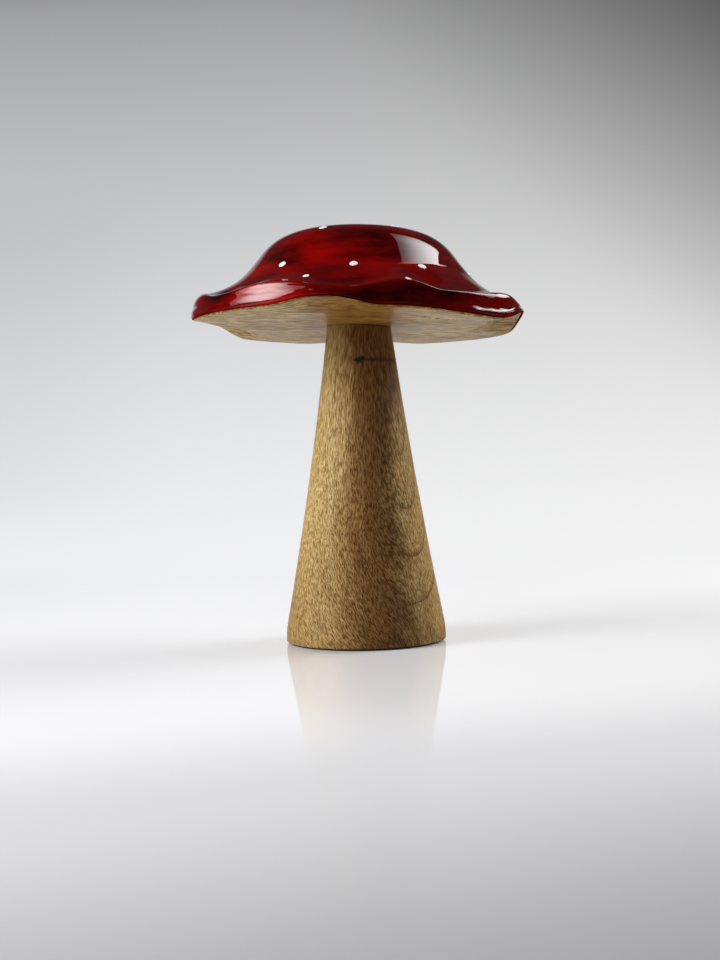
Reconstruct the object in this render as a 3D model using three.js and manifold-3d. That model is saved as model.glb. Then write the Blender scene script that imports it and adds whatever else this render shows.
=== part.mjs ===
// A wooden mushroom ornament: a turned stem, a carved cap pegged onto it, a red enamel coat over the
// cap, raised white dots on the coat and a thin felt pad under the foot.
// Millimetres, +Z up, standing on Z = 0. Angles round the cap run from +X towards +Y; -90 is the front.
import * as THREE from 'three';
import { mergeVertices } from 'three/addons/utils/BufferGeometryUtils.js';
import Module from 'manifold-3d';

// Gap that the glue fills between two pieces
const glueGap = 0.3;

// Felt pad
const padThickness = 0.5;
const padInset = 1.5;

// Stem
const stemHeight = 135.7;
const stemTopRadius = 13.9;
const footRadius = 34.6;
const footHeight = 5;
const footEdgeRadius = 0.5;
const stemHollow = 1;

// Peg between the stem and the cap
const pegRadius = 5;
const pegFlutes = 12;
const pegFluteDepth = 0.35;
const pegChamfer = 1;
const pegInStem = 21;
const pegInCap = 19;
const pegHoleSpare = 1;

// Cap: how it sits on the stem
const capLean = 1.38;
const capShift = -0.7;

// Cap: section of the coat's outer face, in heights above the stem's joint
const capHeight = 41.7;
const crownHandle = 27.5;
const shoulderHandle = 12.7;
const flankRadius = 42.6;
const flankHeight = 29.1;
const flankSlope = 54;
const hollowHandle = 13.5;
const rimRadius = 72;
const crestInset = 5;
const crestHeight = 8.8;
const brimHandle = 9;
const brimSlope = 3.5;
const lipHandle = 2.6;
const lipInset = 0.8;
const lipHeight = 4;

// Cap: the carved waves start here and grow towards the rim
const waveStartRadius = 46;
// Angle, then rise of the brim's crest above crestHeight
const crestWave = [
  [-165, 2.7], [-142, -0.6], [-119, 1.7], [-92, -1.4], [-75, 1.2], [-58, -2.2], [-42, -1.9],
  [-22, 1.8], [5, -1.4], [48, 1.2], [92, -1.2], [135, 1.9],
];
// Angle, then rise of the rim's lower edge above the joint
const edgeWave = [
  [-152, 0.5], [-123, 0.4], [-101, 3.3], [-79, -0.5], [-42, -1.9], [-3, 5], [24, 0.4], [58, 0.5],
  [88, 2], [117, 0], [137, 0.2], [157, 4.4],
];

// Enamel coat
const coatThickness = 0.8;
const coatBead = 0.3;

// White dots: rings measured from the flank and from the crest
const dotRadius = 1.7;
const dotHeight = 0.45;
const upperRingInset = 12;
const middleRingOutset = 7;
const lowerRingInset = 9.5;
// Angle, then how far outside its ring each hand-set dot lies
const upperDots = [[-115, 2.5], [-56, -2.6], [4, 0.4], [66, -1.2], [124, 1.4], [183, -0.4]];
const middleDots = [
  [-128.5, -1], [-91.5, 1], [-58.8, 1], [-13.8, -1], [28, 0.4], [67, -0.6], [108, 1.2], [149, -0.5],
  [187, 0.3],
];
const lowerDots = [[-110, -1.3], [-71, 1.2], [8, 0.5], [48, -0.5], [88, 1], [128, -0.5], [168, 0.5]];

// Facets
const stemFacets = 64;
const capFacets = 60;
const dotFacets = 10;
// Steps along the dome, the hollow, the round of the lip and its lower part
const woodSteps = [6, 6, 3, 2];
const coatSteps = [9, 8, 4, 2];

const { degToRad, radToDeg, smootherstep } = THREE.MathUtils;
const wasm = await Module();
wasm.setup();

const footZ = padThickness + glueGap;
const jointZ = footZ + stemHeight;
const crestRadius = rimRadius - crestInset;
const lipRadius = rimRadius - lipInset;
const pegHoleRadius = pegRadius + glueGap;
const woodInset = coatThickness + glueGap;

// Turns an outline round the upright axis; an end within a millionth of the axis sits on it
function turned(points, facets) {
  const outline = points.map(({ x, y }) => new THREE.Vector2(x < 1e-6 ? 0 : x, y));
  const geometry = new THREE.LatheGeometry(outline, facets);
  geometry.rotateX(Math.PI / 2);
  return geometry;
}

function solidOf(geometry) {
  const bare = geometry.clone();
  bare.deleteAttribute('normal');
  bare.deleteAttribute('uv');
  const merged = mergeVertices(bare, 1e-5);
  const mesh = new wasm.Mesh({
    numProp: 3,
    vertProperties: new Float32Array(merged.attributes.position.array),
    triVerts: new Uint32Array(merged.index.array),
  });
  return new wasm.Manifold(mesh);
}

function geometryOf(solid) {
  const mesh = solid.getMesh();
  const geometry = new THREE.BufferGeometry();
  geometry.setAttribute('position', new THREE.BufferAttribute(mesh.vertProperties, 3));
  geometry.setIndex(new THREE.BufferAttribute(mesh.triVerts, 1));
  geometry.computeVertexNormals();
  return geometry;
}

function piece(name, geometry, color, roughness) {
  const material = new THREE.MeshStandardMaterial({ color, roughness, metalness: 0 });
  const mesh = new THREE.Mesh(geometry, material);
  mesh.name = name;
  return mesh;
}

// Height of a wave at an angle: level at every crest and trough, eased between them
function waveAt(wave, angle) {
  const first = wave[0][0];
  const turn = THREE.MathUtils.euclideanModulo(radToDeg(angle) - first, 360) + first;
  const next = wave.findIndex(([knot]) => knot > turn);
  const [endAngle, endRise] = next < 0 ? [first + 360, wave[0][1]] : wave[next];
  const [startAngle, startRise] = next < 0 ? wave[wave.length - 1] : wave[next - 1];
  return startRise + (endRise - startRise) * smootherstep(turn, startAngle, endAngle);
}

// Four curves of the coat's outer face, from the crown down to the lower edge
const flankDown = new THREE.Vector2(Math.cos(degToRad(flankSlope)), -Math.sin(degToRad(flankSlope)));
const brimDown = new THREE.Vector2(Math.cos(degToRad(brimSlope)), -Math.sin(degToRad(brimSlope)));
const crown = new THREE.Vector2(0, capHeight);
const flank = new THREE.Vector2(flankRadius, flankHeight);
const crest = new THREE.Vector2(crestRadius, crestHeight);
const lip = new THREE.Vector2(lipRadius, lipHeight);
const rim = new THREE.Vector2(rimRadius, 0);
const domeCurve = new THREE.CubicBezierCurve(
  crown,
  new THREE.Vector2(crownHandle, capHeight),
  flank.clone().addScaledVector(flankDown, -shoulderHandle),
  flank,
);
const hollowCurve = new THREE.CubicBezierCurve(
  flank,
  flank.clone().addScaledVector(flankDown, hollowHandle),
  crest.clone().addScaledVector(brimDown, -brimHandle),
  crest,
);
const roundCurve = new THREE.CubicBezierCurve(
  crest,
  crest.clone().addScaledVector(brimDown, lipHandle),
  new THREE.Vector2(lipRadius, lipHeight + lipHandle),
  lip,
);
const dripCurve = new THREE.CubicBezierCurve(
  lip,
  new THREE.Vector2(lipRadius, lipHeight - lipHeight / 3),
  new THREE.Vector2(rimRadius, lipHeight / 3),
  rim,
);

// A section point takes its share of the crest's wave and of the lower edge's wave
function sectionPoint(curve, t, inset) {
  const outer = curve.getPoint(t);
  const along = curve.getTangent(t);
  const reach = smootherstep(outer.x, waveStartRadius, crestRadius);
  const onTop = curve === domeCurve || curve === hollowCurve;
  const rise = onTop ? 1 : THREE.MathUtils.clamp(outer.y / crestHeight, 0, 1);
  return {
    r: Math.max(outer.x + along.y * inset, 0),
    z: outer.y - along.x * inset,
    crestShare: reach * rise,
    edgeShare: reach * (1 - rise),
  };
}

function outerFace(steps, inset) {
  const points = [];
  [domeCurve, hollowCurve, roundCurve, dripCurve].forEach((curve, order) => {
    for (let step = order === 0 ? 0 : 1; step <= steps[order]; step += 1) {
      points.push(sectionPoint(curve, step / steps[order], inset));
    }
  });
  return points;
}

function carved(section) {
  const geometry = turned(section.map(({ r, z }) => new THREE.Vector2(r, z)), capFacets);
  const place = geometry.attributes.position;
  for (let i = 0; i < place.count; i += 1) {
    const { crestShare, edgeShare } = section[i % section.length];
    const angle = Math.atan2(place.getY(i), place.getX(i));
    const rise = crestShare * waveAt(crestWave, angle) + edgeShare * waveAt(edgeWave, angle);
    place.setZ(i, place.getZ(i) + rise);
  }
  geometry.computeVertexNormals();
  return geometry;
}

// Felt pad, stuck under the foot
const padRadius = footRadius - padInset;
const padOutline = new THREE.Path();
padOutline.moveTo(0, 0);
padOutline.lineTo(padRadius, 0);
padOutline.lineTo(padRadius, padThickness);
padOutline.lineTo(0, padThickness);
const basePad = piece('base_pad', turned(padOutline.getPoints(), stemFacets), 0x2b2522, 1);

// Cap, coat and dots share a frame on the joint, which leans to the right
const capFrame = new THREE.Group();
capFrame.position.set(capShift, 0, jointZ);
capFrame.rotation.y = degToRad(capLean);
capFrame.updateMatrix();

// Stem: upright foot with an eased edge, rounding into a slightly hollow taper left long for the trim
const trimLength = stemTopRadius;
const footCorner = new THREE.Vector2(footRadius, footHeight);
const taperTop = new THREE.Vector2(stemTopRadius, stemHeight);
const taperBend = footCorner.clone().lerp(taperTop, 0.5);
taperBend.x -= 2 * stemHollow;
const taperFoot = footCorner.clone().lerp(taperBend, footHeight / (stemHeight - footHeight));
const taper = (taperBend.x - stemTopRadius) / (stemHeight - taperBend.y);
const stemOutline = new THREE.Path();
stemOutline.moveTo(0, 0);
stemOutline.lineTo(footRadius - footEdgeRadius, 0);
stemOutline.absarc(footRadius - footEdgeRadius, footEdgeRadius, footEdgeRadius, -Math.PI / 2, 0);
stemOutline.lineTo(footRadius, footHeight / 2);
stemOutline.quadraticCurveTo(footCorner.x, footCorner.y, taperFoot.x, taperFoot.y);
stemOutline.quadraticCurveTo(taperBend.x, taperBend.y, taperTop.x, taperTop.y);
stemOutline.lineTo(stemTopRadius - taper * trimLength, stemHeight + trimLength);
stemOutline.lineTo(0, stemHeight + trimLength);
const stemBlank = turned(stemOutline.getPoints(3), stemFacets);
stemBlank.translate(0, 0, footZ);

// The stem's top is trimmed to the cap's underside and drilled square to it
const trimReach = 2 * stemTopRadius;
const stemHoleDepth = pegInStem + pegHoleSpare;
const trimOutline = new THREE.Path();
trimOutline.moveTo(0, -stemHoleDepth);
trimOutline.lineTo(pegHoleRadius, -stemHoleDepth);
trimOutline.lineTo(pegHoleRadius, -glueGap);
trimOutline.lineTo(trimReach, -glueGap);
trimOutline.lineTo(trimReach, 2 * trimLength);
trimOutline.lineTo(0, 2 * trimLength);
const trimTool = turned(trimOutline.getPoints(), stemFacets);
trimTool.applyMatrix4(capFrame.matrix);
const stemSolid = solidOf(stemBlank).subtract(solidOf(trimTool));
const stem = piece('stem', geometryOf(stemSolid), 0x9c7a48, 0.55);

// Peg: fluted, chamfered at both ends
const pegOutline = new THREE.Shape();
const pegPoints = 4 * pegFlutes;
for (let i = 0; i < pegPoints; i += 1) {
  const angle = (2 * Math.PI * i) / pegPoints;
  const radius = pegRadius - pegChamfer - (pegFluteDepth * (1 - Math.cos(pegFlutes * angle))) / 2;
  const corner = [radius * Math.cos(angle), radius * Math.sin(angle)];
  if (i === 0) {
    pegOutline.moveTo(...corner);
  } else {
    pegOutline.lineTo(...corner);
  }
}
pegOutline.closePath();
const pegGeometry = new THREE.ExtrudeGeometry(pegOutline, {
  depth: pegInStem + pegInCap - 2 * pegChamfer,
  bevelEnabled: true,
  bevelThickness: pegChamfer,
  bevelSize: pegChamfer,
  bevelSegments: 1,
  steps: 1,
});
pegGeometry.translate(0, 0, pegChamfer - pegInStem);
const peg = piece('peg', pegGeometry, 0xd2b183, 0.7);

// Cap: blind peg hole, flat underside, carved rim, dome
const capHoleDepth = pegInCap + pegHoleSpare;
const woodRimRadius = rimRadius - woodInset;
const undersideSteps = 6;
const capSection = [
  { r: 0, z: capHoleDepth, crestShare: 0, edgeShare: 0 },
  { r: pegHoleRadius, z: capHoleDepth, crestShare: 0, edgeShare: 0 },
  { r: pegHoleRadius, z: 0, crestShare: 0, edgeShare: 0 },
];
for (let step = 0; step < undersideSteps; step += 1) {
  const r = THREE.MathUtils.lerp(waveStartRadius, woodRimRadius, step / undersideSteps);
  capSection.push({ r, z: 0, crestShare: 0, edgeShare: smootherstep(r, waveStartRadius, crestRadius) });
}
capSection.push(...outerFace(woodSteps, woodInset).reverse());
const capBody = piece('cap_body', carved(capSection), 0xb49c74, 0.6);

// Enamel: follows the cap outside, rolls under in a small bead, and lies on the wood inside
const bead = { r: rimRadius - coatThickness / 2, z: -coatBead, crestShare: 0, edgeShare: 1 };
const coatSection = [
  ...outerFace(woodSteps, coatThickness),
  bead,
  ...outerFace(coatSteps, 0).reverse(),
];
const coat = piece('enamel_coat', carved(coatSection), 0x8a0409, 0.08);

// Height of the coat's top above the joint, and the way it faces
const topSteps = 64;
const topPoints = [domeCurve, hollowCurve].flatMap((curve) => curve.getPoints(topSteps));
function coatTop(x, y) {
  const r = Math.hypot(x, y);
  const next = Math.max(topPoints.findIndex((point) => point.x > r), 1);
  const [before, after] = [topPoints[next - 1], topPoints[next]];
  const height = before.y + ((after.y - before.y) * (r - before.x)) / (after.x - before.x);
  const reach = smootherstep(r, waveStartRadius, crestRadius);
  return height + reach * waveAt(crestWave, Math.atan2(y, x));
}

function dot(name, radius, angle) {
  const outline = new THREE.Path();
  outline.moveTo(0, 0);
  outline.lineTo(dotRadius, 0);
  outline.absellipse(0, 0, dotRadius, dotHeight, 0, Math.PI / 2);
  const mesh = piece(name, turned(outline.getPoints(2), dotFacets), 0xf3f1ec, 0.15);
  const x = radius * Math.cos(degToRad(angle));
  const y = radius * Math.sin(degToRad(angle));
  const slopeX = (coatTop(x + dotRadius, y) - coatTop(x - dotRadius, y)) / (2 * dotRadius);
  const slopeY = (coatTop(x, y + dotRadius) - coatTop(x, y - dotRadius)) / (2 * dotRadius);
  const facing = new THREE.Vector3(-slopeX, -slopeY, 1).normalize();
  mesh.position.set(x, y, coatTop(x, y)).addScaledVector(facing, glueGap);
  mesh.quaternion.setFromUnitVectors(new THREE.Vector3(0, 0, 1), facing);
  return mesh;
}

const dots = [dot('dot_crown', 0, 0)];
[
  ['dot_upper', flankRadius - upperRingInset, upperDots],
  ['dot_middle', flankRadius + middleRingOutset, middleDots],
  ['dot_lower', crestRadius - lowerRingInset, lowerDots],
].forEach(([ring, ringRadius, places]) => {
  places.forEach(([angle, outset], i) => {
    dots.push(dot(`${ring}_${i + 1}`, ringRadius + outset, angle));
  });
});

capFrame.add(peg, capBody, coat, ...dots);
const mushroom = new THREE.Group();
mushroom.add(basePad, stem, capFrame);

export default mushroom;
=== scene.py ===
"""Dresses the mushroom ornament: a turned wooden stem under a carved cap in glossy red enamel."""

import logging
import math
from collections.abc import Callable
from dataclasses import dataclass, field, replace
from enum import Enum
from typing import ClassVar, NamedTuple

import bpy
import numpy as np
from mathutils import Matrix, Quaternion, Vector


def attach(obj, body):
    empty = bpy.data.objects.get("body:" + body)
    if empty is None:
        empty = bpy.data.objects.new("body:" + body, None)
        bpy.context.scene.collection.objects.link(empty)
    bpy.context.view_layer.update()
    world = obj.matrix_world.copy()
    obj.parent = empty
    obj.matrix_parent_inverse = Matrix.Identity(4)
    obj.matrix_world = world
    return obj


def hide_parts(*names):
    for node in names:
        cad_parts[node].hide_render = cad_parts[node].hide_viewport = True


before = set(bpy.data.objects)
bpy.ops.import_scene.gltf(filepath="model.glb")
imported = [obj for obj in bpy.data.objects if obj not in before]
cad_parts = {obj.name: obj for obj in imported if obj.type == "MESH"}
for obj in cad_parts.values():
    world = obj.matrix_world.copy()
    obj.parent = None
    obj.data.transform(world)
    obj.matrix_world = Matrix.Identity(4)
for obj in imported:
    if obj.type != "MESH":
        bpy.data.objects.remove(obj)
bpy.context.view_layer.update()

LOG = logging.getLogger("mushroom")
MM = 0.001
BODY = "root"
FULL_TURN = 2 * math.pi
QUARTER_TURN = math.pi / 2

Pair = tuple[float, float]
Place = tuple[float, float, float]
Colour = tuple[float, float, float, float]
WHITE: Colour = (1.0, 1.0, 1.0, 1.0)


class Slot(Enum):
    """Material slots of the record."""

    FELT = "felt"
    STEM_WOOD = "stem_wood"
    CAP_WOOD = "cap_wood"
    RED_ENAMEL = "red_enamel"
    WHITE_ENAMEL = "white_enamel"


class Mix(Enum):
    """Ways to lay one colour over another."""

    COVER = "MIX"
    MULTIPLY = "MULTIPLY"


# Shapes


def smoother(value: np.ndarray, low: np.ndarray | float, high: np.ndarray | float) -> np.ndarray:
    """Returns shares that ease from 0 at low to 1 at high."""
    share = np.clip((value - low) / (high - low), 0.0, 1.0)
    return share**3 * (share * (share * 6.0 - 15.0) + 10.0)


def bezier(corners: list[Pair], steps: int) -> tuple[np.ndarray, np.ndarray]:
    """Samples a cubic curve.

    Args:
        corners: Its four control points.
        steps: Number of steps along it.

    Returns:
        Points and unit tangents, one row each.
    """
    a, b, c, d = (np.array(corner) for corner in corners)
    t = np.linspace(0.0, 1.0, steps + 1)[:, None]
    points = a * (1 - t) ** 3 + 3 * b * t * (1 - t) ** 2 + 3 * c * t * t * (1 - t) + d * t**3
    along = 3 * (b - a) * (1 - t) ** 2 + 6 * (c - b) * t * (1 - t) + 3 * (d - c) * t * t
    return points, along / np.linalg.norm(along, axis=1, keepdims=True)


def put(name: str, data: bpy.types.ID) -> bpy.types.Object:
    """Puts data into the scene as a new object.

    Args:
        name: Name of the object.
        data: Its mesh, lamp or camera.

    Returns:
        The object.
    """
    made = bpy.data.objects.new(name, data)
    bpy.context.scene.collection.objects.link(made)
    return made


def smooth_object(name: str, points: list, faces: list[tuple[int, ...]]) -> bpy.types.Object:
    """Makes a smooth-shaded mesh object.

    Args:
        name: Name of the object.
        points: Points in metres.
        faces: Numbers of each face's points.

    Returns:
        The object, linked to the scene.
    """
    mesh = bpy.data.meshes.new(name)
    mesh.from_pydata(points, [], faces)
    mesh.polygons.foreach_set("use_smooth", [True] * len(mesh.polygons))
    mesh.validate()
    return put(name, mesh)


def skin(name: str, rings: np.ndarray) -> bpy.types.Object:
    """Joins rings of points into one closed surface.

    Args:
        name: Name of the new piece.
        rings: Millimetre points, ring by ring; the first and last ring close on their mean point.

    Returns:
        The new piece.
    """
    count, columns, _ = rings.shape
    points = np.vstack([rings[0].mean(axis=0), rings[1:-1].reshape(-1, 3), rings[-1].mean(axis=0)]) * MM
    turn = np.arange(columns)
    after = (turn + 1) % columns
    last = 1 + (count - 3) * columns
    bands = [(0 * turn, 1 + after, 1 + turn)]
    for low in range(1, last, columns):
        high = low + columns
        bands.append((low + turn, low + after, high + after, high + turn))
    bands.append((last + turn, last + after, 0 * turn + len(points) - 1))
    faces = [tuple(face) for band in bands for face in np.stack(band, axis=1).tolist()]
    return smooth_object(name, points.tolist(), faces)


def turned(profile: np.ndarray, columns: int) -> np.ndarray:
    """Turns a profile round the upright axis.

    Args:
        profile: Radius and height of each ring, in millimetres.
        columns: Points in each ring.

    Returns:
        Rings of millimetre points.
    """
    angles = np.arange(columns) * (FULL_TURN / columns)
    radius = profile[:, 0:1]
    height = np.repeat(profile[:, 1:2], columns, axis=1)
    return np.stack([radius * np.cos(angles), radius * np.sin(angles), height], axis=2)


def rounded_edge(radius: float, edge: float, rows: int) -> np.ndarray:
    """Returns radius and height of each point of a rounded lower edge, from the underside up to the side."""
    turns = np.linspace(-QUARTER_TURN, 0.0, rows)
    return np.stack([radius - edge + edge * np.cos(turns), edge + edge * np.sin(turns)], axis=1)


class Swell(NamedTuple):
    """One run of swells: its direction, its rate and how far a seed shifts it."""

    way: Place
    rate: float
    shift: float


SWELLS = (
    Swell((0.83, 0.31, 0.46), 1.0, 1.0),
    Swell((-0.42, 0.77, 0.21), 1.37, 2.1),
    Swell((0.25, -0.58, 0.71), 1.91, 3.7),
)
THIRD_SHARE = 0.6


@dataclass(frozen=True)
class Ripple:
    """Slow unevenness of a hand-finished surface: its size, the rough distance between swells, a seed."""

    size: float
    pitch: float
    seed: float

    def at(self, points: np.ndarray) -> np.ndarray:
        """Height of the unevenness.

        Args:
            points: Millimetre points.

        Returns:
            The height at each point.
        """
        turns = FULL_TURN / self.pitch
        first, second, third = (
            np.sin(turns * swell.rate * (points @ np.array(swell.way)) + swell.shift * self.seed)
            for swell in SWELLS
        )
        return self.size * ((first * second + THIRD_SHARE * third) / (1.0 + THIRD_SHARE))


# Node work


def arithmetic(operation: str, swapped: bool = False) -> Callable[["Value", "Feed"], "Value"]:
    """Makes a method of Value that adds one Math node.

    Args:
        operation: Blender's name of the operation.
        swapped: Whether the other operand comes first.

    Returns:
        The method.
    """

    def method(value: "Value", other: "Feed") -> "Value":
        """Adds the node and returns its result."""
        operands = (other, value) if swapped else (value, other)
        return value.bench.maths(operation, *operands)

    return method


class Value:
    """A number, colour, place or surface in a shader tree; arithmetic on a number adds Math nodes."""

    def __init__(self, bench: "NodeBench", socket: bpy.types.NodeSocket) -> None:
        """Keeps the bench and the socket that gives the value."""
        self.bench = bench
        self.socket = socket

    __add__ = __radd__ = arithmetic("ADD")
    __mul__ = arithmetic("MULTIPLY")
    __sub__ = arithmetic("SUBTRACT")
    __rsub__ = arithmetic("SUBTRACT", swapped=True)
    __truediv__ = arithmetic("DIVIDE")
    __rtruediv__ = arithmetic("DIVIDE", swapped=True)
    __pow__ = arithmetic("POWER")
    at_most = arithmetic("MINIMUM")
    at_least = arithmetic("MAXIMUM")

    def __abs__(self) -> "Value":
        """Returns the number without its sign."""
        return self.bench.maths("ABSOLUTE", self)

    def ease(self, low: "Feed", high: "Feed", start: "Feed" = 0.0, end: "Feed" = 1.0) -> "Value":
        """Returns the number eased, so that low becomes start and high becomes end."""
        feeds = {"Value": self, "From Min": low, "From Max": high, "To Min": start, "To Max": end}
        return self.bench.value("ShaderNodeMapRange", feeds, interpolation_type="SMOOTHSTEP")


Feed = Value | float | tuple[float, ...]
Feeds = dict[str | int, Feed]
Values = dict[str, Value]

# Numbers of the Mix node's sockets that serve colours
MIX_SHARE, MIX_FIRST, MIX_SECOND, MIX_RESULT = 0, 6, 7, 2


class NodeBench:
    """Adds and joins the nodes of one shader tree."""

    def __init__(self, tree: bpy.types.NodeTree) -> None:
        """Keeps the tree that the nodes go into."""
        self.tree = tree

    def feed(self, node: bpy.types.Node, feeds: Feeds) -> None:
        """Links values to a node's inputs, or sets the inputs' constants.

        Args:
            node: The node.
            feeds: Values or constants for its inputs, by name or number.
        """
        for key, value in feeds.items():
            if isinstance(value, Value):
                self.tree.links.new(value.socket, node.inputs[key])
            else:
                node.inputs[key].default_value = value

    def add(self, kind: str, feeds: Feeds | None = None, **settings: object) -> bpy.types.Node:
        """Adds one node.

        Args:
            kind: Blender's type name of the node.
            feeds: Values or constants for its inputs, by name or number.
            **settings: Properties of the node.

        Returns:
            The node.
        """
        node = self.tree.nodes.new(kind)
        for key, setting in settings.items():
            setattr(node, key, setting)
        self.feed(node, feeds or {})
        return node

    def value(
        self, kind: str, feeds: Feeds | None = None, output: str | int = 0, **settings: object
    ) -> Value:
        """Adds one node, as add does, and returns one of its outputs."""
        return Value(self, self.add(kind, feeds, **settings).outputs[output])

    def maths(self, operation: str, *values: Feed) -> Value:
        """Adds a Math node and returns its result."""
        return self.value("ShaderNodeMath", dict(enumerate(values)), operation=operation)

    def far(self, x: Value, y: Value) -> Value:
        """Returns the distance that two offsets make."""
        return self.maths("SQRT", x * x + y * y)

    def split(self, place: Value) -> tuple[Value, Value, Value]:
        """Returns the three parts of a place."""
        parts = self.add("ShaderNodeSeparateXYZ", {0: place}).outputs
        return Value(self, parts[0]), Value(self, parts[1]), Value(self, parts[2])

    def join(self, x: Feed, y: Feed, z: Feed) -> Value:
        """Returns a place made of three parts."""
        return self.value("ShaderNodeCombineXYZ", {0: x, 1: y, 2: z})

    def stretch(self, place: Value, scale: Place) -> Value:
        """Returns a place scaled along each axis."""
        return self.value("ShaderNodeVectorMath", {0: place, 1: scale}, operation="MULTIPLY")

    def place(self, unit: float = MM) -> Value:
        """Returns the place on the object, in a unit given in metres."""
        return self.stretch(self.value("ShaderNodeTexCoord", output="Object"), (1.0 / unit,) * 3)

    def noise(self, place: Value, scale: Feed, detail: float = 2.0, rough: float = 0.5) -> Value:
        """Returns a soft cloud between 0 and 1."""
        feeds = {"Vector": place, "Scale": scale, "Detail": detail, "Roughness": rough}
        return self.value("ShaderNodeTexNoise", feeds)

    def blend(self, share: Feed, first: Feed, second: Feed, how: Mix = Mix.COVER) -> Value:
        """Returns a blend of two colours."""
        feeds = {MIX_SHARE: share, MIX_FIRST: first, MIX_SECOND: second}
        return self.value("ShaderNodeMix", feeds, MIX_RESULT, data_type="RGBA", blend_type=how.value)

    def group(self, tree: bpy.types.NodeTree, feeds: Feeds) -> Values:
        """Places a shared node group with its own values and returns its outputs."""
        node = self.add("ShaderNodeGroup", feeds, node_tree=tree)
        return {socket.name: Value(self, socket) for socket in node.outputs}

    def bump(self, height: Value, distance: float, strength: float) -> Value:
        """Returns a normal raised by a height over the given distance, in metres."""
        feeds = {"Height": height, "Distance": distance, "Strength": strength}
        return self.value("ShaderNodeBump", feeds)


# Kinds of group sockets, by how many numbers their values have
SOCKETS = {3: "NodeSocketVector", 4: "NodeSocketColor"}
Layout = Callable[[NodeBench, Values], Values]


def make_group(name: str, takes: Feeds, gives: Feeds, lay: Layout) -> bpy.types.NodeTree:
    """Builds a shader node group with named sockets.

    Args:
        name: Name of the group.
        takes: Inputs with their first values; three numbers make a place, four a colour.
        gives: Outputs, each with a value of its kind.
        lay: Lays out the nodes that lead from the inputs to the outputs.

    Returns:
        The group.
    """
    tree = bpy.data.node_groups.new(name, "ShaderNodeTree")
    for way, sockets in (("INPUT", takes), ("OUTPUT", gives)):
        for key, first in sockets.items():
            kind = SOCKETS[len(first)] if isinstance(first, tuple) else "NodeSocketFloat"
            tree.interface.new_socket(key, in_out=way, socket_type=kind).default_value = first
    bench = NodeBench(tree)
    entry = bench.add("NodeGroupInput")
    made = lay(bench, {key: Value(bench, entry.outputs[key]) for key in takes})
    bench.add("NodeGroupOutput", made)
    return tree


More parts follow.
